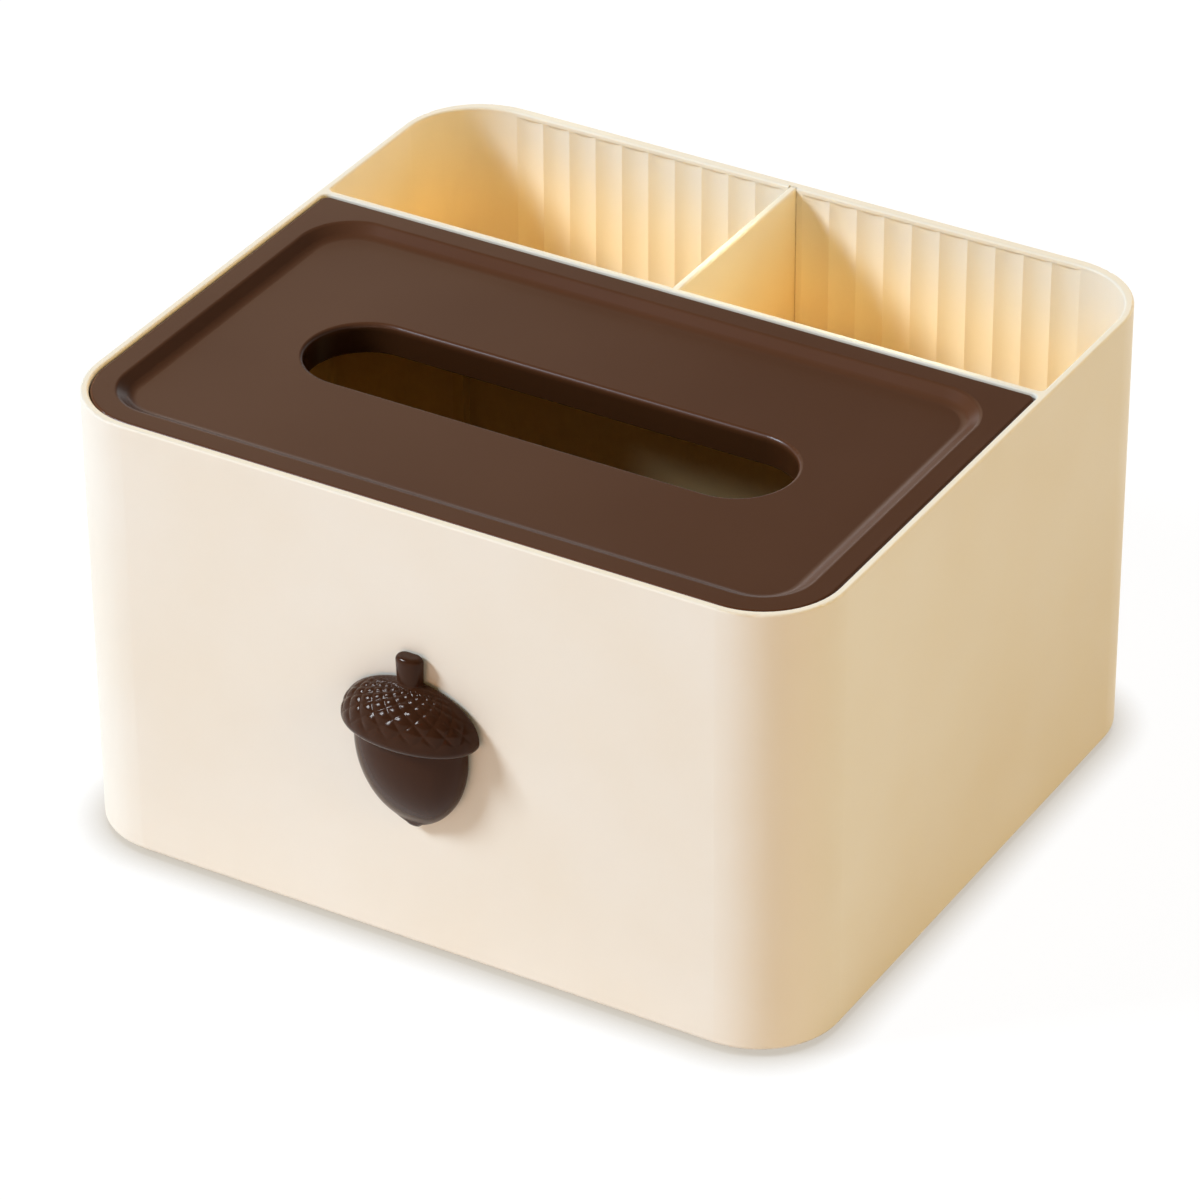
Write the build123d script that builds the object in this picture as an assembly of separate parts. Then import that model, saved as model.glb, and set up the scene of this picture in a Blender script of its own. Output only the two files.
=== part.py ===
"""Tissue box with a drop-in lid, two rear pockets, a front ornament and rubber feet.

Millimetres and degrees. +Z is up, the front faces -Y, and the table is z = 0.
The pieces are built about the middle of the shell and then moved together, so that
the origin is the middle of the footprint, ornament included.
"""

import os
from math import radians, sqrt, tan

from build123d import *

# Shell
SHELL_WIDTH = 200.0  # left to right, at the rim
SHELL_DEPTH = 180.0  # front to back, at the rim
SHELL_HEIGHT = 118.4  # underside of the floor to the rim
CORNER_RADIUS = 21.5  # upright outer corners, at the rim
DRAFT_ANGLE = 0.15  # every upright face leans in by this going down
WALL = 2.0
FLOOR = 2.6
RIM_ROUND = 0.6
BASE_ROUND = 1.2
INNER_ROUND = 2.0  # between the floor and the walls, inside
BAY_DEPTH = 115.9  # tissue bay, front to back, at the rim
BAY_REAR_RADIUS = 2.0
CROSS_WALL = 1.8  # between the bay and the pockets, at the rim
POCKET_FRONT_RADIUS = 1.4

# Flutes on the inner back wall
FLUTE_PITCH = 7.6
FLUTE_DEPTH = 0.7
FLUTE_LAND = 5.6  # plain strip behind the divider
FLUTE_TOP_LAND = 1.3  # plain strip under the rim
FLUTE_FOOT_LAND = 3.0  # plain strip above the floor
FLUTE_CORNER_REACH = 3.2  # how far the last flute may run into a corner

# Lid
LID_GAP = 0.4  # all round, to the shell
LID_DROP = 0.4  # lid top below the rim
LID_PLATE = 2.2
LID_EDGE_ROUND = 0.6
PANEL_MARGIN = 6.0  # lid edge to the top of the step
PANEL_STEP_WIDTH = 3.5
PANEL_DEPTH = 2.4
PANEL_REAR_RADIUS = 14.0
PANEL_EDGE_ROUND = 1.5
PANEL_FOOT_ROUND = 4.0
SLOT_LENGTH = 129.0
SLOT_WIDTH = 29.0
SLOT_ROUND = 1.0
COLLAR_WALL = 2.0
COLLAR_DEPTH = 8.0  # top of the panel to the collar's lower edge
COLLAR_ROUND = 0.5

# Seat ribs under the lid
SEAT_RIB_WIDTH = 3.0
SEAT_RIB_REACH = 3.0
SEAT_RIB_SPREAD_SHARE = 0.6  # of the bay width, for the pairs front and rear

# Pocket divider
DIVIDER_THICKNESS = 2.0
DIVIDER_DROP = 0.2  # top edge below the rim
DIVIDER_ROUND = 0.6
DIVIDER_SIDE_GAP = 0.15
DIVIDER_END_GAP = 0.2
GROOVE_DEPTH = 0.7

# Rubber feet
FOOT_DIAMETER = 12.0
FOOT_PROUD = 1.6
FOOT_SEAT_DEPTH = 0.8
FOOT_SIDE_GAP = 0.2
FOOT_ROUND = 0.5
FOOT_INSET = 23.0  # outer side of the shell to the middle of a foot

# Front ornament
ORNAMENT_RISE = 58.5  # middle of the ornament above the underside of the shell
ORNAMENT_AXIS_BACK = 8.0  # axis of the turned forms behind the ornament's back
NUT_RADIUS = 17.0
NUT_LENGTH = 28.0  # widest place to the point, along the axis
NUT_DROP = 0.5  # widest place below the middle of the ornament
TIP_RADIUS = 2.4
TIP_SINK = 1.2  # middle of the tip above the visible end of the nut
CAP_RADIUS = 19.7
CAP_HEIGHT = 15.1
CAP_RISE = 2.5  # lower edge of the cap above the middle of the ornament
CAP_LIP_ROUND = 2.4
STEM_RADIUS = 2.8
STEM_TOP_RADIUS = 3.6
STEM_TOP = 23.5  # top of the stem above the middle of the ornament
STEM_ROUND = 1.2
PAD_THICKNESS = 0.8
PAD_MARGIN = 2.6
PEG_DIAMETER = 3.0
PEG_GAP = 0.15
PEG_SPACING = 14.0

# Levels
UNDERSIDE = FOOT_PROUD
RIM = UNDERSIDE + SHELL_HEIGHT
FLOOR_TOP = UNDERSIDE + FLOOR
LID_TOP = RIM - LID_DROP
SEAT_TOP = LID_TOP - LID_PLATE
PANEL_TOP = LID_TOP - PANEL_DEPTH

# Plan of the shell at the rim, about its middle
FRONT = -SHELL_DEPTH / 2
BACK = SHELL_DEPTH / 2
BACK_WALL = WALL + FLUTE_DEPTH
BAY_WIDTH = SHELL_WIDTH - 2 * WALL
BAY_FRONT = FRONT + WALL
BAY_REAR = BAY_FRONT + BAY_DEPTH
BAY_MIDDLE = (BAY_FRONT + BAY_REAR) / 2
BAY_CORNER = CORNER_RADIUS - WALL
POCKET_FRONT = BAY_REAR + CROSS_WALL
POCKET_REAR = BACK - BACK_WALL
POCKET_DEPTH = POCKET_REAR - POCKET_FRONT
POCKET_MIDDLE = (POCKET_FRONT + POCKET_REAR) / 2
DRAFT_SLOPE = tan(radians(DRAFT_ANGLE))


def lean(z):
    """Inward shift of an upright shell face at height z, from its place at the rim."""
    return (RIM - z) * DRAFT_SLOPE


def rounded_plan(width, depth, front_radius, rear_radius):
    """Rectangle about the origin with its own corner radius in front and at the rear."""
    plan = Rectangle(width, depth)
    plan = fillet(plan.vertices().group_by(Axis.Y)[0], front_radius)
    return fillet(plan.vertices().group_by(Axis.Y)[-1], rear_radius)


def drafted_block(plan, height, foot_round):
    """Block that hangs from the plan at the rim, narrows downwards and has a rounded foot."""
    block = extrude(plan, amount=height, taper=DRAFT_ANGLE)
    block = fillet(block.faces().sort_by(Axis.Z)[-1].edges(), foot_round)
    return Pos(0, 0, RIM) * mirror(block, about=Plane.XY)


def slab(x0, x1, y0, y1, z0, z1):
    """Box between two corners."""
    block = Box(x1 - x0, y1 - y0, z1 - z0)
    return Pos((x0 + x1) / 2, (y0 + y1) / 2, (z0 + z1) / 2) * block


def upward_faces(part):
    """Level faces that look up, lowest first."""
    level = part.faces().filter_by(Axis.Z).sort_by(Axis.Z)
    return [face for face in level if face.normal_at().Z > 0]


# Plane of the inner back wall, its z along the wall and its origin at the rim
POCKET_BACK_PLANE = Plane(
    origin=(0, POCKET_REAR, RIM), x_dir=(1, 0, 0), z_dir=(0, DRAFT_SLOPE, 1)
)

# Plane of the front wall at the ornament, its z pointing out of the wall
ORNAMENT_HEIGHT = UNDERSIDE + ORNAMENT_RISE
FRONT_PLANE = Plane(
    origin=(0, FRONT + lean(ORNAMENT_HEIGHT), ORNAMENT_HEIGHT),
    x_dir=(1, 0, 0),
    z_dir=(0, -1, -DRAFT_SLOPE),
)

# Places that two pieces share
FOOT_PLACES = {
    "foot_front_left": (-1, FRONT + FOOT_INSET),
    "foot_front_right": (1, FRONT + FOOT_INSET),
    "foot_rear_left": (-1, BACK - FOOT_INSET),
    "foot_rear_right": (1, BACK - FOOT_INSET),
}
FOOT_X = SHELL_WIDTH / 2 - FOOT_INSET
PEG_PLACES = [(0, -PEG_SPACING / 2), (0, PEG_SPACING / 2)]


def seat_ribs():
    """Upright ribs on the bay walls whose tops carry the lid."""
    half = BAY_WIDTH / 2
    spread = half * SEAT_RIB_SPREAD_SHARE
    side = SEAT_RIB_WIDTH / 2
    root = WALL / 2
    levels = (FLOOR_TOP - FLOOR / 2, SEAT_TOP)
    spans = []
    for x in (-spread, spread):
        spans.append((x - side, x + side, BAY_FRONT - root, BAY_FRONT + SEAT_RIB_REACH))
        spans.append((x - side, x + side, BAY_REAR - SEAT_RIB_REACH, BAY_REAR + CROSS_WALL / 2))
    for x0, x1 in ((-half - root, SEAT_RIB_REACH - half), (half - SEAT_RIB_REACH, half + root)):
        spans.append((x0, x1, BAY_MIDDLE - side, BAY_MIDDLE + side))
    return [slab(*span, *levels) for span in spans]


def flute_cutters():
    """Cylinders whose chord on the back wall is one pitch, side by side from the land out."""
    radius = FLUTE_PITCH**2 / (8 * FLUTE_DEPTH) + FLUTE_DEPTH / 2
    run = SHELL_WIDTH / 2 - CORNER_RADIUS + FLUTE_CORNER_REACH - FLUTE_LAND / 2
    count = int(run / FLUTE_PITCH)
    top = FLUTE_TOP_LAND
    length = RIM - FLOOR_TOP - FLUTE_FOOT_LAND - top
    cutters = []
    for side in (-1, 1):
        for k in range(count):
            x = side * (FLUTE_LAND / 2 + (k + 1 / 2) * FLUTE_PITCH)
            place = Pos(x, FLUTE_DEPTH - radius, -top - length / 2)
            cutters.append(POCKET_BACK_PLANE * place * Cylinder(radius, length))
    return cutters


def divider_form(thickness, reach, top):
    """Plate on the pocket floor whose upright edges reach a given way into the drafted walls."""
    y0 = POCKET_FRONT + lean(FLOOR_TOP) - reach
    y1 = POCKET_REAR - lean(FLOOR_TOP) + reach
    y2 = POCKET_REAR - lean(top) + reach
    y3 = POCKET_FRONT + lean(top) - reach
    outline = Polyline(
        (0, y0, FLOOR_TOP), (0, y1, FLOOR_TOP), (0, y2, top), (0, y3, top), close=True
    )
    return extrude(make_face(outline), amount=thickness / 2, both=True)


def build_shell():
    """Drafted block with two cavities, then the features that the other pieces meet."""
    plan = rounded_plan(SHELL_WIDTH, SHELL_DEPTH, CORNER_RADIUS, CORNER_RADIUS)
    shell = drafted_block(plan, SHELL_HEIGHT, BASE_ROUND)
    bay = rounded_plan(BAY_WIDTH, BAY_DEPTH, BAY_CORNER, BAY_REAR_RADIUS)
    pocket = rounded_plan(BAY_WIDTH, POCKET_DEPTH, POCKET_FRONT_RADIUS, BAY_CORNER)
    cavity_height = SHELL_HEIGHT - FLOOR
    shell -= Pos(0, BAY_MIDDLE, 0) * drafted_block(bay, cavity_height, INNER_ROUND)
    shell -= Pos(0, POCKET_MIDDLE, 0) * drafted_block(pocket, cavity_height, INNER_ROUND)
    shell = fillet(shell.faces().sort_by(Axis.Z)[-1].edges(), RIM_ROUND)
    shell += seat_ribs()
    shell -= flute_cutters()
    shell -= divider_form(DIVIDER_THICKNESS + 2 * DIVIDER_SIDE_GAP, GROOVE_DEPTH, RIM)
    seat_radius = FOOT_DIAMETER / 2 + FOOT_SIDE_GAP
    for side, y in FOOT_PLACES.values():
        place = Pos(side * FOOT_X, y, UNDERSIDE)
        shell -= place * Cylinder(seat_radius, 2 * FOOT_SEAT_DEPTH)
    for place in PEG_PLACES:
        hole = Cylinder(PEG_DIAMETER / 2 + PEG_GAP, 4 * WALL)
        shell -= FRONT_PLANE * Pos(*place) * hole
    return shell


def build_lid():
    """Plate with a stepped-down panel, a round-ended slot and its collar."""
    width = BAY_WIDTH - 2 * LID_GAP
    depth = BAY_DEPTH - 2 * LID_GAP
    front_radius = BAY_CORNER - LID_GAP
    plan = rounded_plan(width, depth, front_radius, BAY_REAR_RADIUS)
    lid = Pos(0, 0, SEAT_TOP) * extrude(plan, amount=LID_PLATE)
    lid = fillet(lid.faces().sort_by(Axis.Z)[-1].edges(), LID_EDGE_ROUND)
    levels = []
    for inset, z in ((PANEL_MARGIN + PANEL_STEP_WIDTH, PANEL_TOP), (PANEL_MARGIN, LID_TOP)):
        shrink = inset - PANEL_MARGIN
        level = rounded_plan(
            width - 2 * inset, depth - 2 * inset, front_radius - inset, PANEL_REAR_RADIUS - shrink
        )
        levels.append(Pos(0, 0, z) * level)
    tray = loft(levels, ruled=True)
    lid += Pos(0, 0, -LID_PLATE) * tray
    lid -= tray
    tops = upward_faces(lid)
    lid = fillet(tops[-1].inner_wires()[0].edges(), PANEL_EDGE_ROUND)
    lid = fillet(upward_faces(lid)[0].edges(), PANEL_FOOT_ROUND)
    slot = SlotOverall(SLOT_LENGTH, SLOT_WIDTH)
    collar = SlotOverall(SLOT_LENGTH + 2 * COLLAR_WALL, SLOT_WIDTH + 2 * COLLAR_WALL)
    foot = PANEL_TOP - COLLAR_DEPTH
    lid += Pos(0, 0, foot) * extrude(collar, amount=COLLAR_DEPTH - LID_PLATE / 2)
    lid -= Pos(0, 0, foot) * extrude(slot, amount=COLLAR_DEPTH)
    lid = fillet(upward_faces(lid)[0].inner_wires()[0].edges(), SLOT_ROUND)
    lid = fillet(lid.faces().sort_by(Axis.Z)[0].edges(), COLLAR_ROUND)
    return Pos(0, BAY_MIDDLE, 0) * lid


def build_divider():
    """Plate in the two grooves, with a rounded top edge."""
    plate = divider_form(DIVIDER_THICKNESS, GROOVE_DEPTH - DIVIDER_END_GAP, RIM - DIVIDER_DROP)
    return fillet(plate.edges().filter_by(Axis.Y).group_by(Axis.Z)[-1], DIVIDER_ROUND)


def build_foot(side, y):
    """Round rubber pad, seated in the floor and proud of it."""
    foot = Cylinder(FOOT_DIAMETER / 2, FOOT_PROUD + FOOT_SEAT_DEPTH)
    foot = fillet(foot.edges().group_by(Axis.Z)[0], FOOT_ROUND)
    return Pos(side * FOOT_X, y, (FOOT_PROUD + FOOT_SEAT_DEPTH) / 2) * foot


def turned(lines, back):
    """Form turned about an upright axis that lies behind the ornament's back."""
    return Pos(0, 0, -back) * revolve(make_face(lines), axis=Axis.Y)


def nut_arc_radius():
    """Radius of the arc from the widest place of the nut, where it is upright, to the point."""
    return (NUT_RADIUS**2 + NUT_LENGTH**2) / (2 * NUT_RADIUS)


def build_ornament():
    """Acorn of turned forms, cut flat at the back, with two pegs."""
    widest = -NUT_DROP
    shoulder = CAP_RISE + CAP_LIP_ROUND
    nut = [
        TangentArc((NUT_RADIUS, widest), (0, widest - NUT_LENGTH), tangent=(0, -1)),
        Line((0, widest - NUT_LENGTH), (0, shoulder)),
        Line((0, shoulder), (NUT_RADIUS, shoulder)),
        Line((NUT_RADIUS, shoulder), (NUT_RADIUS, widest)),
    ]
    cap = [
        Line((0, CAP_RISE), (CAP_RADIUS - CAP_LIP_ROUND, CAP_RISE)),
        TangentArc((CAP_RADIUS - CAP_LIP_ROUND, CAP_RISE), (CAP_RADIUS, shoulder), tangent=(1, 0)),
        EllipticalCenterArc(
            (0, shoulder), CAP_RADIUS, CAP_HEIGHT - CAP_LIP_ROUND, start_angle=0, arc_size=90
        ),
        Line((0, CAP_RISE + CAP_HEIGHT), (0, CAP_RISE)),
    ]
    stem = Polyline(
        (0, CAP_RISE), (STEM_RADIUS, CAP_RISE), (STEM_TOP_RADIUS, STEM_TOP), (0, STEM_TOP), close=True
    )
    stem = turned(stem, 0)
    stem = fillet(stem.faces().sort_by(Axis.Y)[-1].edges(), STEM_ROUND)
    arc = nut_arc_radius()
    end = sqrt(arc**2 - (arc - NUT_RADIUS + ORNAMENT_AXIS_BACK) ** 2)
    tip = Pos(0, widest - end + TIP_SINK, 0) * Sphere(TIP_RADIUS)
    body = turned(nut, ORNAMENT_AXIS_BACK) + turned(cap, ORNAMENT_AXIS_BACK) + stem + tip
    reach = CAP_RADIUS + NUT_LENGTH
    body -= Pos(0, 0, -reach) * Box(2 * reach, 2 * reach, 2 * reach)
    length = PAD_THICKNESS + WALL
    for x, y in PEG_PLACES:
        body += Pos(x, y, -length / 2) * Cylinder(PEG_DIAMETER / 2, length)
    return FRONT_PLANE * Pos(0, 0, PAD_THICKNESS) * body


def build_pad():
    """Round adhesive pad inside the outline of the nut, with clearance for the pegs."""
    radius = sqrt(NUT_RADIUS**2 - ORNAMENT_AXIS_BACK**2) - PAD_MARGIN
    pad = extrude(Circle(radius), amount=PAD_THICKNESS)
    for place in PEG_PLACES:
        pad -= Pos(*place) * Cylinder(PEG_DIAMETER / 2 + PEG_GAP, 4 * PAD_THICKNESS)
    return FRONT_PLANE * pad


pieces = {
    "outer_shell": build_shell(),
    "lid": build_lid(),
    "pocket_divider": build_divider(),
    "front_ornament": build_ornament(),
    "ornament_pad": build_pad(),
}
for name, (side, y) in FOOT_PLACES.items():
    pieces[name] = build_foot(side, y)

boxes = [piece.bounding_box() for piece in pieces.values()]
middle = (min(b.min.Y for b in boxes) + max(b.max.Y for b in boxes)) / 2
os.makedirs("parts", exist_ok=True)
for name, piece in pieces.items():
    export_step(Pos(0, -middle, 0) * piece, f"parts/{name}.step")
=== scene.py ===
"""Tissue box organizer: finishes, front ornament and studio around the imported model.

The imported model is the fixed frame, in metres with +Z up and the front towards -Y. Its nodes keep
their shape and get a finish here. The front ornament is a new piece that stands for its node.
"""

import math
from typing import NamedTuple

import bpy
import numpy as np
from bpy.props import FloatProperty, FloatVectorProperty, IntProperty, PointerProperty
from bpy.types import Operator, Panel, PropertyGroup
from mathutils import Matrix, Vector


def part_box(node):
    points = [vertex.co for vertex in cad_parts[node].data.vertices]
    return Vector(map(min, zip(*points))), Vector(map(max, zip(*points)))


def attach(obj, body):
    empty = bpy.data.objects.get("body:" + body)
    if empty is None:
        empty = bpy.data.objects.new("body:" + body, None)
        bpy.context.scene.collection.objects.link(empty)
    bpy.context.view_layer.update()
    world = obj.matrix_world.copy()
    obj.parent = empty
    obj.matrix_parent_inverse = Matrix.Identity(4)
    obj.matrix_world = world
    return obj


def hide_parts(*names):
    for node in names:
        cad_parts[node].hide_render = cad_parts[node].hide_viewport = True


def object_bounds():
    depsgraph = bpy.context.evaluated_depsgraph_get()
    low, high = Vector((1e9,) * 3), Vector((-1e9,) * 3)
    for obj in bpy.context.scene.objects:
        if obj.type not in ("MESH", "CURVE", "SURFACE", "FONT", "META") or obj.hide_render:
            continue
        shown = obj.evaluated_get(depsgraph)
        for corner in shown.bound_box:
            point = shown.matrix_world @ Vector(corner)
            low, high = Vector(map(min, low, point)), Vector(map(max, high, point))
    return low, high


bl_info = {
    "name": "Tissue Box Organizer",
    "version": (1, 0, 0),
    "blender": (4, 5, 0),
    "location": "3D View > Sidebar > Organizer",
    "description": "Finishes, front ornament and studio for a moulded tissue box",
    "category": "Object",
}

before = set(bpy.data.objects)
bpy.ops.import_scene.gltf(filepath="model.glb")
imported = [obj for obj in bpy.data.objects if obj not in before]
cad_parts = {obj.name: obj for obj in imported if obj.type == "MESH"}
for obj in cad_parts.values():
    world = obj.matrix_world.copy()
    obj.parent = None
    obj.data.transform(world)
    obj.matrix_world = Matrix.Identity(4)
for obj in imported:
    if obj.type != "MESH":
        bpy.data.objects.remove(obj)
CAD_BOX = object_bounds()

MM = 0.001
QUARTER_TURN = np.pi / 2
ORNAMENT_LOW, ORNAMENT_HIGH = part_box("front_ornament")
PAD_LOW, PAD_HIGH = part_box("ornament_pad")
PAD_THICKNESS = 0.8 * MM
CREAM_NODES = ("outer_shell", "pocket_divider")
FEET = ("foot_front_left", "foot_front_right", "foot_rear_left", "foot_rear_right")
BOX_MIDDLE = (CAD_BOX[0] + CAD_BOX[1]) / 2

# Shell
LID_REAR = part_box("lid")[1].y
POCKET_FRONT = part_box("pocket_divider")[0].y
WALL = 2.0 * MM
CORNER_RADIUS = 21.5 * MM
# Depth below the rim over which the painted glow and shade of the inside set in
DEPTH_SHADE_FADE = 34 * MM

# Lid
PANEL_DEPTH = 2.4 * MM
PANEL_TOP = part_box("lid")[1].z - PANEL_DEPTH
# Depth over which the painted shade down in the slot sets in
SLOT_SHADE_FADE = 2.0 * MM

# Curve of the sRGB standard
SRGB_TOP = 255
SRGB_KNEE = 0.04045
SRGB_SLOPE = 12.92
SRGB_OFFSET = 0.055
SRGB_POWER = 2.4


def linear(hex_colour):
    """Linear RGB of an sRGB colour written as #rrggbb."""
    channels = [int(hex_colour[i : i + 2], 16) / SRGB_TOP for i in (1, 3, 5)]
    return tuple(
        c / SRGB_SLOPE if c <= SRGB_KNEE else ((c + SRGB_OFFSET) / (1 + SRGB_OFFSET)) ** SRGB_POWER
        for c in channels
    )


def opaque(colour):
    """The colour with full alpha, as shader sockets take it."""
    return (*colour, 1.0)


def colour_property(name, description, hex_colour):
    """Colour that a user can change, with an sRGB default."""
    return FloatVectorProperty(
        name=name, description=description, default=linear(hex_colour), subtype="COLOR", min=0.0, max=1.0
    )


def length_property(name, description, default):
    """Length that a user can change, in metres."""
    return FloatProperty(
        name=name, description=description, default=default, subtype="DISTANCE", unit="LENGTH", min=0.0
    )


def angle_property(name, description, degrees):
    """Angle that a user can change, with a default in degrees."""
    return FloatProperty(
        name=name, description=description, default=math.radians(degrees), subtype="ANGLE"
    )


class FinishColours(PropertyGroup):
    """Colours of the moulded pieces."""

    cream: colour_property("Cream", "Shell and divider", "#f2e8d7")
    cream_cloud: colour_property("Cream cloud", "Faint clouds in the cream", "#f0e4d0")
    # Painted light: the pocket tone stands for warm light that bounces in the rear pockets and comes
    # through their thin walls
    pocket_painted_glow: colour_property("Pocket painted glow", "Warm tone deep in the rear pockets", "#ffe4b6")
    # Painted shade: the bay tone stands for the dimmer light deep in the tissue bay
    bay_painted_shade: colour_property("Bay painted shade", "Dim tone deep in the tissue bay", "#e3c184")
    brown: colour_property("Brown", "Lid", "#693f27")
    brown_cloud: colour_property("Brown cloud", "Faint clouds in the brown", "#643a22")
    # Painted shade: the slot tone stands for the little light that gets down into the slot
    slot_painted_shade: colour_property("Slot painted shade", "Dark tone down in the lid's slot", "#3f220f")
    gloss_brown: colour_property("Gloss brown", "Front ornament", "#3d2213")
    foam: colour_property("Foam", "Adhesive pad", "#dcd6c8")
    rubber: colour_property("Rubber", "Feet", "#4a443e")


class OrnamentSizes(PropertyGroup):
    """Details of the acorn. Its outer size is that of the front ornament's node."""

    edge_round: length_property("Edge round", "Rounding of the edge against the wall", 1.0 * MM)
    lip_round: length_property("Lip round", "Rounding of the cap's lower edge", 2.4 * MM)
    scale_relief: length_property("Scale relief", "Height of the scales on the cap", 0.4 * MM)
    scale_count: IntProperty(name="Scales", description="Scales across the cap", default=9, min=3)
    peg_radius: length_property("Peg radius", "Radius of the two pegs in the wall", 1.5 * MM)
    peg_spacing: length_property("Peg spacing", "Between the two pegs", 14.0 * MM)


class StudioSettings(PropertyGroup):
    """Camera and light."""

    camera_place: FloatVectorProperty(
        name="Camera place",
        description="Where the camera stands",
        default=(0.64310, -1.08814, 0.85092),
        subtype="TRANSLATION",
        unit="LENGTH",
    )
    camera_azimuth: angle_property("Azimuth", "Turn of the camera to the right of the front", 30.594)
    camera_elevation: angle_property("Elevation", "Camera above the horizon", 32.31)
    camera_roll: angle_property("Roll", "Turn about the line of sight", -0.37)
    focal_length: FloatProperty(
        name="Focal length",
        description="Lens on a square picture as wide as the sensor, in millimetres",
        default=186.9,
        unit="CAMERA",
    )
    ambient: colour_property("Ambient", "Light from all round", "#fff5df")
    ambient_level: FloatProperty(
        name="Ambient level", description="Strength of the light from all round", default=0.12, min=0.0
    )


def in_use(sockets, name):
    """The socket of that name that the node's settings have in use."""
    return next(s for s in sockets if s.name == name and s.enabled)


def add_node(tree, kind, inputs=None, **settings):
    """Adds a node, sets its properties, and gives each input, by name or by number, a value or a link."""
    node = tree.nodes.new(kind)
    for name, value in settings.items():
        setattr(node, name, value)
    for key, value in (inputs or {}).items():
        socket = node.inputs[key] if isinstance(key, int) else in_use(node.inputs, key)
        if isinstance(value, bpy.types.NodeSocket):
            tree.links.new(value, socket)
        else:
            socket.default_value = value
    return node


def new_material(name):
    """Empty node material and its tree."""
    material = bpy.data.materials.new(name)
    material.use_nodes = True
    material.node_tree.nodes.clear()
    return material, material.node_tree


def add_surface(tree, inputs):
    """Principled surface, joined to the material's output."""
    surface = add_node(tree, "ShaderNodeBsdfPrincipled", inputs)
    add_node(tree, "ShaderNodeOutputMaterial", {"Surface": surface.outputs["BSDF"]})


def object_place(tree):
    """Object coordinates, in metres."""
    return add_node(tree, "ShaderNodeTexCoord").outputs["Object"]


def object_axes(tree):
    """Object coordinates, axis by axis."""
    return add_node(tree, "ShaderNodeSeparateXYZ", {"Vector": object_place(tree)}).outputs


def calculate(tree, operation, first, second):
    """Result of an operation on two numbers, each a value or a link."""
    return add_node(tree, "ShaderNodeMath", {0: first, 1: second}, operation=operation).outputs["Value"]


def ramp(tree, value, start, end, smooth="LINEAR"):
    """Share that goes from 0 to 1 while the value goes from start to end."""
    ends = {"Value": value, "From Min": start, "From Max": end}
    return add_node(tree, "ShaderNodeMapRange", ends, interpolation_type=smooth).outputs["Result"]


def blend_colours(tree, share, first, second):
    """Colour between two, each a value or a link, at a share from the first to the second."""
    sides = {"Factor": share, "A": first, "B": second}
    return in_use(add_node(tree, "ShaderNodeMix", sides, data_type="RGBA").outputs, "Result")


def noise(tree, size, inputs):
    """Soft noise with one swell per size."""
    pattern = {"Vector": object_place(tree), "Scale": 1 / size, **inputs}
    return add_node(tree, "ShaderNodeTexNoise", pattern).outputs["Fac"]


# Clouds, from the range that such noise seldom leaves
CLOUD_DETAIL = 2.0
CLOUD_LOW = 0.3
CLOUD_HIGH = 0.7


def clouds(tree, size, low, high):
    """Slow change between two values, with one soft cloud per size."""
    cloud = noise(tree, size, {"Detail": CLOUD_DETAIL})
    ends = {"Value": cloud, "From Min": CLOUD_LOW, "From Max": CLOUD_HIGH, "To Min": low, "To Max": high}
    return add_node(tree, "ShaderNodeMapRange", ends).outputs["Result"]


def clouded_colour(tree, colour, other, size):
    """Colour that drifts to another and back, with one soft cloud per size."""
    return blend_colours(tree, clouds(tree, size, 0.0, 1.0), opaque(colour), opaque(other))


def bump_normal(tree, height, depth):
    """Normal of a surface whose height, from 0 to 1, stands for the given depth."""
    return add_node(tree, "ShaderNodeBump", {"Height": height, "Distance": depth}).outputs["Normal"]


class Skin(NamedTuple):
    """How a moulded skin takes the light: clouds of roughness between two values, and its grain."""

    cloud: float
    smoothest: float
    roughest: float
    ior: float
    specular: float = 0.5
    grain: float = 0.0
    grain_depth: float = 0.0


GRAIN_DETAIL = 3.0
GRAIN_ROUGHNESS = 0.6


def add_moulded_surface(tree, skin, inputs):
    """Surface with the gloss and the grain of a moulded skin, and with the other inputs as given."""
    gloss = {
        "Roughness": clouds(tree, skin.cloud, skin.smoothest, skin.roughest),
        "IOR": skin.ior,
        "Specular IOR Level": skin.specular,
    }
    if skin.grain:
        grain = noise(tree, skin.grain, {"Detail": GRAIN_DETAIL, "Roughness": GRAIN_ROUGHNESS})
        gloss["Normal"] = bump_normal(tree, grain, skin.grain_depth)
    add_surface(tree, {**inputs, **gloss})


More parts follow.
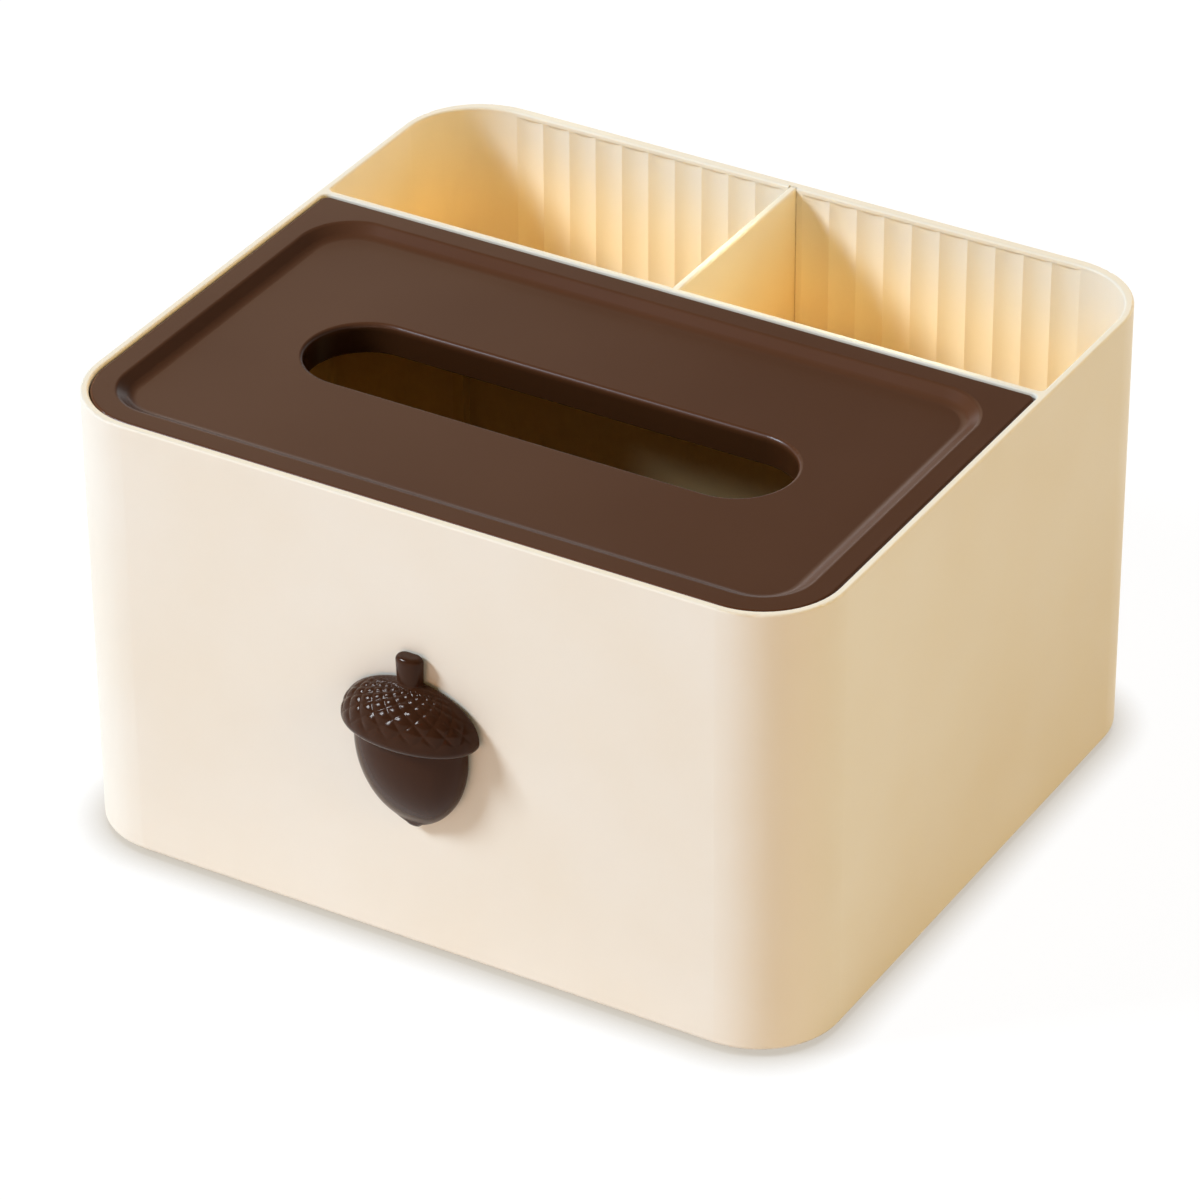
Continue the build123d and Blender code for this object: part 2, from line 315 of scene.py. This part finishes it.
def painted_depth_share(tree):
    """Share of the painted glow and shade deep inside: none at the rim or on the outside, and all of it
    deep inside.

    In plan the outer wall is a rounded rectangle. A point's reach past the middles of the corner rounds is
    the length of what lies beyond them, and the middle of the wall parts the inside from the outside.
    """
    low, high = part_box("outer_shell")
    middle = (low + high) / 2
    corner = (high - low) / 2 - Vector((CORNER_RADIUS, CORNER_RADIUS, 0))
    beyond = object_place(tree)
    steps = (("SUBTRACT", middle), ("ABSOLUTE", None), ("SUBTRACT", corner), ("MAXIMUM", (0, 0, 0)))
    for operation, other in steps:
        inputs = {0: beyond} if other is None else {0: beyond, 1: other}
        beyond = add_node(tree, "ShaderNodeVectorMath", inputs, operation=operation).outputs["Vector"]
    reach = add_node(tree, "ShaderNodeVectorMath", {0: beyond}, operation="LENGTH").outputs["Value"]
    height = object_axes(tree)["Z"]
    within_wall = ramp(tree, reach, CORNER_RADIUS - WALL / 4, CORNER_RADIUS - WALL / 2)
    above_floor = ramp(tree, height, low.z, low.z + WALL)
    below_rim = ramp(tree, height, high.z, high.z - DEPTH_SHADE_FADE, smooth="SMOOTHSTEP")
    inside = calculate(tree, "MULTIPLY", within_wall, above_floor)
    return calculate(tree, "MULTIPLY", inside, below_rim)


CREAM_CLOUD = 42 * MM
CREAM_SKIN = Skin(24 * MM, 0.46, 0.56, ior=1.49, grain=1.2 * MM, grain_depth=0.012 * MM)


def cream_polypropylene(colours):
    """Polypropylene from a spark-eroded mould: satin, softly clouded, with a grain that breaks the gloss.

    Thin walls let some light through and the hollows trap it; deep inside, that light is painted into the
    colour: a warm painted glow in the rear pockets and a dim painted shade in the tissue bay.
    The real grain is about 0.1 mm wide and is drawn at 1.2 mm so that it shows.
    """
    material, tree = new_material("cream_polypropylene")
    outer = clouded_colour(tree, colours.cream, colours.cream_cloud, CREAM_CLOUD)
    in_pockets = ramp(tree, object_axes(tree)["Y"], LID_REAR, POCKET_FRONT)
    painted_depth_tone = blend_colours(tree, in_pockets, opaque(colours.bay_painted_shade), opaque(colours.pocket_painted_glow))
    # Painted light and shade: deep inside, the colour turns to the painted pocket glow or the painted bay
    # shade
    colour = blend_colours(tree, painted_depth_share(tree), outer, painted_depth_tone)
    add_moulded_surface(tree, CREAM_SKIN, {"Base Color": colour})
    return material


BROWN_CLOUD = 55 * MM
BROWN_SKIN = Skin(30 * MM, 0.28, 0.33, ior=1.49, specular=0.3)


def brown_polypropylene(colours):
    """The same polymer, coloured dark brown: a satin skin whose soft sheen shows the panel's step.

    Little light gets down into the slot, so its colour there darkens to a painted shade.
    """
    material, tree = new_material("brown_polypropylene")
    top = clouded_colour(tree, colours.brown, colours.brown_cloud, BROWN_CLOUD)
    # Painted shade: down in the slot the colour darkens
    painted_slot_shade_share = ramp(tree, object_axes(tree)["Z"], PANEL_TOP, PANEL_TOP - SLOT_SHADE_FADE)
    colour = blend_colours(tree, painted_slot_shade_share, top, opaque(colours.slot_painted_shade))
    add_moulded_surface(tree, BROWN_SKIN, {"Base Color": colour})
    return material


GLOSS_TINT = "#ffeddd"
GLOSS_SKIN = Skin(9 * MM, 0.12, 0.18, ior=1.53, specular=0.14, grain=7 * MM, grain_depth=0.03 * MM)


def gloss_abs(colours):
    """ABS from a polished mould: deep gloss with the slight waviness of a thick moulding."""
    material, tree = new_material("gloss_abs")
    tones = {"Base Color": opaque(colours.gloss_brown), "Specular Tint": opaque(linear(GLOSS_TINT))}
    add_moulded_surface(tree, GLOSS_SKIN, tones)
    return material


FOAM_CELL = 0.4 * MM
FOAM_CELL_DEPTH = 0.1 * MM
FOAM_ROUGHNESS = 0.9


def adhesive_foam(colours):
    """Closed-cell acrylic foam tape: matt, and pitted by its cells."""
    material, tree = new_material("adhesive_foam")
    cells = add_node(tree, "ShaderNodeTexVoronoi", {"Vector": object_place(tree), "Scale": 1 / FOAM_CELL})
    pits = bump_normal(tree, cells.outputs["Distance"], FOAM_CELL_DEPTH)
    add_surface(tree, {"Base Color": opaque(colours.foam), "Roughness": FOAM_ROUGHNESS, "Normal": pits})
    return material


RUBBER_SKIN = Skin(3 * MM, 0.75, 0.9, ior=1.52, grain=0.5 * MM, grain_depth=0.05 * MM)


def foot_rubber(colours):
    """Moulded rubber: matt and finely pitted."""
    material, tree = new_material("foot_rubber")
    add_moulded_surface(tree, RUBBER_SKIN, {"Base Color": opaque(colours.rubber)})
    return material


def set_finish(node, material):
    """Gives a node of the frame one material all over."""
    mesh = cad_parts[node].data
    mesh.materials.clear()
    mesh.materials.append(material)


def soft_union(a, b, power=6):
    """Larger of two sizes, with the change between them rounded: the power norm of the two."""
    return (a**power + b**power) ** (1 / power)


def round_rings(radius, steps):
    """The two coordinates of round rings across their axis.

    They turn so that a shell of them faces outwards along +Y, and upwards where they widen in plan.
    """
    angle = np.linspace(0, 2 * np.pi, steps, endpoint=False)
    return np.outer(radius, np.cos(angle)), np.outer(radius, -np.sin(angle))


def shell_of_rings(rings, top_closed=True):
    """Points and faces of closed rings laid one after another, with a pole that closes each end."""
    count, around, _ = rings.shape
    points = np.vstack([rings.reshape(-1, 3), rings[0].mean(axis=0)])
    ring, step = np.meshgrid(np.arange(count - 1) * around, np.arange(around), indexing="ij")
    following = (step + 1) % around
    quads = np.stack(
        [ring + step, ring + following, ring + around + following, ring + around + step], axis=-1
    )
    first = np.arange(around)
    second = (first + 1) % around
    pole = np.full(around, count * around)
    faces = quads.reshape(-1, 4).tolist()
    faces += np.stack([second, first, pole], axis=-1).tolist()
    if top_closed:
        points = np.vstack([points, rings[-1].mean(axis=0)])
        last = (count - 1) * around
        faces += np.stack([last + first, last + second, pole + 1], axis=-1).tolist()
    return points, faces


SHARP_ANGLE = math.radians(40)


def shells_object(name, shells, material):
    """Object of several shells, smooth where faces meet at less than the sharp angle."""
    points, faces = [], []
    for shell_points, shell_faces in shells:
        start = sum(len(p) for p in points)
        points.append(shell_points)
        faces += [[start + i for i in face] for face in shell_faces]
    mesh = bpy.data.meshes.new(name)
    mesh.from_pydata(np.vstack(points).tolist(), [], faces)
    mesh.validate()
    mesh.shade_smooth()
    mesh.set_sharp_from_angle(angle=SHARP_ANGLE)
    mesh.materials.append(material)
    piece = bpy.data.objects.new(name, mesh)
    bpy.context.scene.collection.objects.link(piece)
    return piece


# Acorn outline, as shares of the ornament's height, and of its half-width and depth
NUT_END_SHARE = 0.025
NUT_WIDEST_SHARE = 0.492
CAP_EDGE_SHARE = 0.556
CAP_TOP_SHARE = 0.852
NIB_RADIUS_SHARE = 0.05
STEM_RADIUS_SHARE = 0.059
STEM_END_RADIUS_SHARE = 0.076
NUT_WIDTH_SHARE = 0.833
NUT_DEPTH_SHARE = 0.77

# Acorn fullness, as powers: a half gives an ellipse, and more gives a leaner end
NUT_WIDTH_POWER = 0.55
NUT_DEPTH_POWER = 0.65
CAP_WIDTH_POWER = 0.5
CAP_DEPTH_POWER = 0.6

# Acorn sections: largest share of a section in its edge round, and how much the face flattens over it
EDGE_ROUND_SHARE = 0.4
FACE_FLATTENING = 0.5

# Acorn scales: how fast they rise from the wall, and how far they keep off the stem, in nib radii
SCALE_RISE = 3
SCALE_CLEARANCE = 2

# Acorn rings and the steps around them. The first ring lies just past the nut's end
NUT_FIRST_ANGLE = 0.03
NUT_RINGS = 90
LIP_RINGS = 18
CAP_RINGS = 150
FACE_STEPS = 150
UNDER_STEPS = 8


def acorn_outline(half_width, height, depth, lip):
    """Height, half-width and depth of the acorn's rings, bottom to top.

    Fullness is one less the square of the share of the way from the widest place to the end, and the
    half-widths and depths are powers of it. The nut runs into a round nib. The cap starts with a
    quarter-round lip and runs into a stem that widens upwards to a rounded end.
    """
    edge = height * CAP_EDGE_SHARE
    z_nut = edge * (1 - np.cos(np.linspace(NUT_FIRST_ANGLE, QUARTER_TURN, NUT_RINGS)))
    below = np.clip(NUT_WIDEST_SHARE - z_nut / height, 0, None) / (NUT_WIDEST_SHARE - NUT_END_SHARE)
    fullness = np.clip(1 - below**2, 0, None)
    nib = height * NIB_RADIUS_SHARE
    nib_width = np.sqrt(np.clip(nib**2 - (z_nut - nib) ** 2, 0, None))
    w_nut = soft_union(half_width * NUT_WIDTH_SHARE * fullness**NUT_WIDTH_POWER, nib_width)
    d_nut = soft_union(depth * NUT_DEPTH_SHARE * fullness**NUT_DEPTH_POWER, nib_width)

    turn = np.linspace(0, QUARTER_TURN, LIP_RINGS)[:-1]
    z_lip = edge + lip * (1 - np.cos(turn))
    w_lip = half_width - lip * (1 - np.sin(turn))
    d_lip = depth - lip * (1 - np.sin(turn))

    foot = edge + lip
    z_cap = foot + (height - foot) * np.sin(np.linspace(0, QUARTER_TURN, CAP_RINGS))
    over = (z_cap - foot) / (height * CAP_TOP_SHARE - foot)
    fullness = np.clip(1 - over**2, 0, None)
    taper = np.clip((z_cap / height - CAP_EDGE_SHARE) / (1 - CAP_EDGE_SHARE), 0, 1)
    stem = height * (STEM_RADIUS_SHARE + (STEM_END_RADIUS_SHARE - STEM_RADIUS_SHARE) * taper)
    end_round = height * STEM_RADIUS_SHARE / 2
    into_end = np.clip((z_cap - height) / end_round + 1, 0, 1)
    stem = stem - end_round * (1 - np.sqrt(1 - into_end**2))
    w_cap = soft_union(half_width * fullness**CAP_WIDTH_POWER, stem)
    d_cap = soft_union(depth * fullness**CAP_DEPTH_POWER, stem)

    z = np.concatenate([z_nut, z_lip, z_cap])
    w = np.concatenate([w_nut, w_lip, w_cap])
    d = np.concatenate([d_nut, d_lip, d_cap])
    return z, w, d


def cap_relief(count, z, w, face, foot, lip, nib):
    """Relief of the cap's scales: 0 on their tops and off the cap, down to -1 between them.

    Two families of spirals, which keep their angle because their rise is the integral of arc length over
    half-width, leave scales between them: their height is the root of the product of two rectified sines.
    """
    run = np.hypot(np.gradient(w), np.gradient(z))
    spiral = np.cumsum(run / np.maximum(w, nib))[:, None]
    scales = np.abs(np.sin(count * (face + spiral))) * np.abs(np.sin(count * (face - spiral)))
    on_cap = np.clip((z - foot) / lip, 0, 1) * np.clip(w / nib - SCALE_CLEARANCE, 0, 1)
    clear_of_wall = np.clip(SCALE_RISE * np.sin(face), 0, 1)
    return np.outer(on_cap, clear_of_wall) * (np.sqrt(scales) - 1)


def acorn_rings(sizes):
    """Rings of an acorn in half relief, bottom to top, on the leaning plane of the pad.

    Each section is half an ellipse whose edge turns under, with the edge round, to a flat back. The cap's
    scales are cut into it along the normal. The whole is deepest at the top of the lip.
    """
    half_width = ORNAMENT_HIGH.x
    height = ORNAMENT_HIGH.z - ORNAMENT_LOW.z
    lip = sizes.lip_round
    foot = height * CAP_EDGE_SHARE + lip
    lean = (PAD_HIGH.y - PAD_LOW.y - PAD_THICKNESS) / (PAD_HIGH.z - PAD_LOW.z)
    depth = PAD_LOW.y + lean * (PAD_HIGH.z - ORNAMENT_LOW.z - foot) - ORNAMENT_LOW.y
    z, w, d = acorn_outline(half_width, height, depth, lip)

    under = np.linspace(-QUARTER_TURN, 0, UNDER_STEPS)[:-1]
    angle = np.concatenate([under, np.linspace(0, np.pi, FACE_STEPS), np.pi - under[::-1]])
    face = np.clip(angle, 0, np.pi)
    r = np.minimum(sizes.edge_round, EDGE_ROUND_SHARE * np.minimum(w, d))
    x = np.outer(w - r, np.cos(face)) + np.outer(r, np.cos(angle))
    out = np.outer(d - r, np.sin(face))
    out += np.outer(r, np.sin(angle) + 1) * (1 - FACE_FLATTENING * np.sin(face))
    rings = np.stack([x, -out, np.broadcast_to(z[:, None], x.shape)], axis=-1)

    normal = np.cross(np.gradient(rings, axis=0), np.gradient(rings, axis=1))
    normal /= np.linalg.norm(normal, axis=-1, keepdims=True) + np.finfo(float).tiny
    relief = cap_relief(sizes.scale_count, z, w, face, foot, lip, height * NIB_RADIUS_SHARE)
    rings += normal * sizes.scale_relief * relief[..., None]

    rings[..., 2] += ORNAMENT_LOW.z
    rings[..., 1] += PAD_LOW.y + lean * (PAD_HIGH.z - rings[..., 2])
    # Anticlockwise from above, so that the faces look outwards
    return rings[:, ::-1]


PEG_STEPS = 32
PEG_ROUND_RINGS = 6
PEG_ROUND_SHARE = 0.25


def peg_rings(sizes, z):
    """Rings of a round peg along +Y, from inside the ornament to its end, with a small edge round."""
    start = PAD_LOW.y - sizes.peg_radius
    end_round = sizes.peg_radius * PEG_ROUND_SHARE
    turn = np.linspace(0, QUARTER_TURN, PEG_ROUND_RINGS)
    radius = np.concatenate([[sizes.peg_radius], sizes.peg_radius - end_round * (1 - np.cos(turn))])
    y = np.concatenate([[start], ORNAMENT_HIGH.y - end_round * (1 - np.sin(turn))])
    x, up = round_rings(radius, PEG_STEPS)
    return np.stack([x, np.broadcast_to(y[:, None], x.shape), up + z], axis=-1)


class ORGANIZER_OT_shell(Operator):
    """Finish the shell and the pocket divider in cream polypropylene"""

    bl_idname = "organizer.shell"
    bl_label = "Shell and divider"

    def execute(self, context):
        material = cream_polypropylene(context.scene.finish_colours)
        for node in CREAM_NODES:
            set_finish(node, material)
        return {"FINISHED"}


class ORGANIZER_OT_lid(Operator):
    """Finish the lid in brown polypropylene"""

    bl_idname = "organizer.lid"
    bl_label = "Lid"

    def execute(self, context):
        set_finish("lid", brown_polypropylene(context.scene.finish_colours))
        return {"FINISHED"}


class ORGANIZER_OT_ornament(Operator):
    """Make the acorn on the front wall, with its pegs, and finish the pad behind it"""

    bl_idname = "organizer.ornament"
    bl_label = "Front ornament"

    def execute(self, context):
        sizes = context.scene.ornament_sizes
        colours = context.scene.finish_colours
        middle = (PAD_LOW.z + PAD_HIGH.z) / 2
        shells = [shell_of_rings(acorn_rings(sizes))]
        for side in (-1, 1):
            shells.append(shell_of_rings(peg_rings(sizes, middle + side * sizes.peg_spacing / 2)))
        acorn = shells_object("acorn_ornament", shells, gloss_abs(colours))
        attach(acorn, "shell")
        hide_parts("front_ornament")
        set_finish("ornament_pad", adhesive_foam(colours))
        return {"FINISHED"}


class ORGANIZER_OT_feet(Operator):
    """Finish the four feet in rubber"""

    bl_idname = "organizer.feet"
    bl_label = "Feet"

    def execute(self, context):
        material = foot_rubber(context.scene.finish_colours)
        for node in FEET:
            set_finish(node, material)
        return {"FINISHED"}


class Lamp(NamedTuple):
    """Softbox: where it stands as seen from its aim, in degrees and metres, its watts and sRGB colour.

    A lamp that is flagged lights only the nodes that it is given.
    """

    azimuth: float
    elevation: float
    distance: float
    width: float
    height: float
    power: float
    colour: str
    in_gloss: bool = False
    aim: Vector = BOX_MIDDLE
    spread: float = 180.0
    flagged_to: tuple = ()


POCKET_MOUTH = Vector((0.0, 57 * MM, 119 * MM))
POCKET_REAR = Vector((0.0, 93 * MM, 96 * MM))

LAMPS = {
    "key_softbox": Lamp(-52, 37, 5.0, 1.3, 1.3, 263.0, "#d8ebff", in_gloss=True),
    "left_strip": Lamp(-140, 26, 1.8, 0.5, 0.9, 0.95, "#ffead0", in_gloss=True),
    "front_bounce": Lamp(0, 0, 2.0, 1.6, 0.1, 5.8, "#ff9b00"),
    "left_bounce": Lamp(-115, 0, 2.0, 1.6, 0.1, 2.6, "#ff9f00"),
    "right_fill": Lamp(85, 25, 4.0, 3.0, 2.0, 87.0, "#ffd670", flagged_to=CREAM_NODES),
    "rear_fill": Lamp(178, 28, 4.0, 3.0, 2.0, 112.0, "#fff6e8", flagged_to=CREAM_NODES),
    "pocket_light": Lamp(
        172, 52, 0.8, 0.16, 0.024, 0.0092, "#f5ffd3", aim=POCKET_MOUTH, spread=2.4,
        flagged_to=CREAM_NODES,
    ),
    "pocket_glow": Lamp(
        0, 40, 0.8, 0.16, 0.02, 0.0014, "#fff7af", aim=POCKET_REAR, spread=2.0,
        flagged_to=CREAM_NODES,
    ),
}

SENSOR_WIDTH = 36.0

# Floor, in metres
FIRST_RADIUS = 0.02
FLOOR_RADIUS = 2.4
SWEEP_RADIUS = 3.2
SWEEP_HEIGHT = 1.0
SWEEP_RINGS = 24
SWEEP_STEPS = 96

# Paper: its own tones, the light that lifts it near an object, darker there as a painted contact shadow,
# and in the clear, and where that fades
PAPER_BOUNCE = "#efebe4"
PAPER_SHADE = "#5f5b55"
# Darker lift near an object: a painted contact shadow
PAINTED_CONTACT_SHADOW = "#c6bfb4"
LIFT_CLEAR = "#fbfbfb"
CONTACT_REACH = 10 * MM
CONTACT_OPENNESS = 0.4


def direction(azimuth, elevation):
    """Unit vector towards a place given by angles: azimuth 0 is the front, and 90 is the right."""
    a, e = math.radians(azimuth), math.radians(elevation)
    return Vector((math.sin(a) * math.cos(e), -math.cos(a) * math.cos(e), math.sin(e)))


def sweep_rings():
    """Level disc that turns up into a wall all round: a quarter ellipse from the floor to the edge."""
    turn = np.linspace(0, QUARTER_TURN, SWEEP_RINGS)[1:]
    wall_radius = FLOOR_RADIUS + (SWEEP_RADIUS - FLOOR_RADIUS) * np.sin(turn)
    radius = np.concatenate([[FIRST_RADIUS, FLOOR_RADIUS], wall_radius])
    z = np.concatenate([[0, 0], SWEEP_HEIGHT * (1 - np.cos(turn))])
    x, y = round_rings(radius, SWEEP_STEPS)
    return np.stack([x, y, np.broadcast_to(z[:, None], x.shape)], axis=-1)


def white_paper():
    """Matt paper. Seen directly or in a gloss it is lifted to white, and it keeps its shadows.

    The lift falls off within the contact reach of whatever stands on the paper, a painted contact shadow
    read from ambient occlusion.
    """
    material, tree = new_material("white_paper")
    path = add_node(tree, "ShaderNodeLightPath")
    seen = path.outputs["Is Camera Ray"]
    for ray in ("Is Glossy Ray", "Is Transmission Ray"):
        seen = calculate(tree, "MAXIMUM", seen, path.outputs[ray])
    bounce = add_node(tree, "ShaderNodeBsdfDiffuse", {"Color": opaque(linear(PAPER_BOUNCE))})
    shade = add_node(tree, "ShaderNodeBsdfDiffuse", {"Color": opaque(linear(PAPER_SHADE))})
    # Painted contact shadow: the lift darkens where ambient occlusion finds something within the contact
    # reach
    openness = add_node(tree, "ShaderNodeAmbientOcclusion", {"Distance": CONTACT_REACH}).outputs["AO"]
    in_clear = ramp(tree, openness, CONTACT_OPENNESS, 1.0)
    level = blend_colours(tree, in_clear, opaque(linear(PAINTED_CONTACT_SHADOW)), opaque(linear(LIFT_CLEAR)))
    lift = add_node(tree, "ShaderNodeEmission", {"Color": level})
    shown = add_node(tree, "ShaderNodeAddShader", {0: shade.outputs["BSDF"], 1: lift.outputs["Emission"]})
    sides = {"Fac": seen, 1: bounce.outputs["BSDF"], 2: shown.outputs["Shader"]}
    mix = add_node(tree, "ShaderNodeMixShader", sides)
    add_node(tree, "ShaderNodeOutputMaterial", {"Surface": mix.outputs["Shader"]})
    return material


def add_lamp(name, lamp):
    """Area light of the lamp's size, power and spread, pointing at its aim."""
    light = bpy.data.lights.new(name, "AREA")
    light.shape = "RECTANGLE"
    light.size = lamp.width
    light.size_y = lamp.height
    light.energy = lamp.power
    light.spread = math.radians(lamp.spread)
    light.color = linear(lamp.colour)
    holder = bpy.data.objects.new(name, light)
    towards = direction(lamp.azimuth, lamp.elevation)
    holder.location = lamp.aim + towards * lamp.distance
    holder.rotation_euler = towards.to_track_quat("Z", "Y").to_euler()
    holder.visible_camera = False
    holder.visible_glossy = lamp.in_gloss
    if lamp.flagged_to:
        lit = bpy.data.collections.new(f"{name}_lit")
        for node in lamp.flagged_to:
            lit.objects.link(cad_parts[node])
        holder.light_linking.receiver_collection = lit
    bpy.context.scene.collection.objects.link(holder)


class ORGANIZER_OT_studio(Operator):
    """Set up the floor, the softboxes, the ambient light and the camera"""

    bl_idname = "organizer.studio"
    bl_label = "Studio"

    def execute(self, context):
        scene = context.scene
        studio = scene.studio_settings
        scene.view_settings.view_transform = "Standard"

        floor = shells_object("floor", [shell_of_rings(sweep_rings(), top_closed=False)], white_paper())

        for name, lamp in LAMPS.items():
            add_lamp(name, lamp)

        world = bpy.data.worlds.new("studio_ambient")
        world.use_nodes = True
        world.node_tree.nodes.clear()
        glow = {"Color": opaque(studio.ambient), "Strength": studio.ambient_level}
        background = add_node(world.node_tree, "ShaderNodeBackground", glow)
        add_node(world.node_tree, "ShaderNodeOutputWorld", {"Surface": background.outputs["Background"]})
        scene.world = world

        lens = bpy.data.cameras.new("camera")
        lens.lens = studio.focal_length
        lens.sensor_width = SENSOR_WIDTH
        camera = bpy.data.objects.new("camera", lens)
        camera.matrix_world = (
            Matrix.Translation(studio.camera_place)
            @ Matrix.Rotation(studio.camera_azimuth, 4, "Z")
            @ Matrix.Rotation(QUARTER_TURN - studio.camera_elevation, 4, "X")
            @ Matrix.Rotation(studio.camera_roll, 4, "Z")
        )
        scene.collection.objects.link(camera)
        scene.camera = camera
        return {"FINISHED"}


PIECES = (ORGANIZER_OT_shell, ORGANIZER_OT_lid, ORGANIZER_OT_ornament, ORGANIZER_OT_feet)
GROUPS = {
    "finish_colours": FinishColours,
    "ornament_sizes": OrnamentSizes,
    "studio_settings": StudioSettings,
}


class ORGANIZER_PT_panel(Panel):
    """Pieces, studio and their settings"""

    bl_idname = "ORGANIZER_PT_panel"
    bl_label = "Tissue box organizer"
    bl_space_type = "VIEW_3D"
    bl_region_type = "UI"
    bl_category = "Organizer"

    def draw(self, context):
        for operator in (*PIECES, ORGANIZER_OT_studio):
            self.layout.operator(operator.bl_idname)
        for attribute, group in GROUPS.items():
            box = self.layout.box()
            for name in group.__annotations__:
                box.prop(getattr(context.scene, attribute), name)


CLASSES = (*GROUPS.values(), *PIECES, ORGANIZER_OT_studio, ORGANIZER_PT_panel)


def register():
    """Registers the classes and gives each scene its settings."""
    for cls in CLASSES:
        bpy.utils.register_class(cls)
    for attribute, group in GROUPS.items():
        setattr(bpy.types.Scene, attribute, PointerProperty(type=group))


def unregister():
    """Takes the settings and the classes away again."""
    for attribute in GROUPS:
        delattr(bpy.types.Scene, attribute)
    for cls in reversed(CLASSES):
        bpy.utils.unregister_class(cls)


def main():
    """Registers the classes, and makes every piece and the studio."""
    register()
    bpy.ops.organizer.shell()
    bpy.ops.organizer.lid()
    bpy.ops.organizer.ornament()
    bpy.ops.organizer.feet()
    bpy.ops.organizer.studio()


if __name__ == "__main__":
    main()
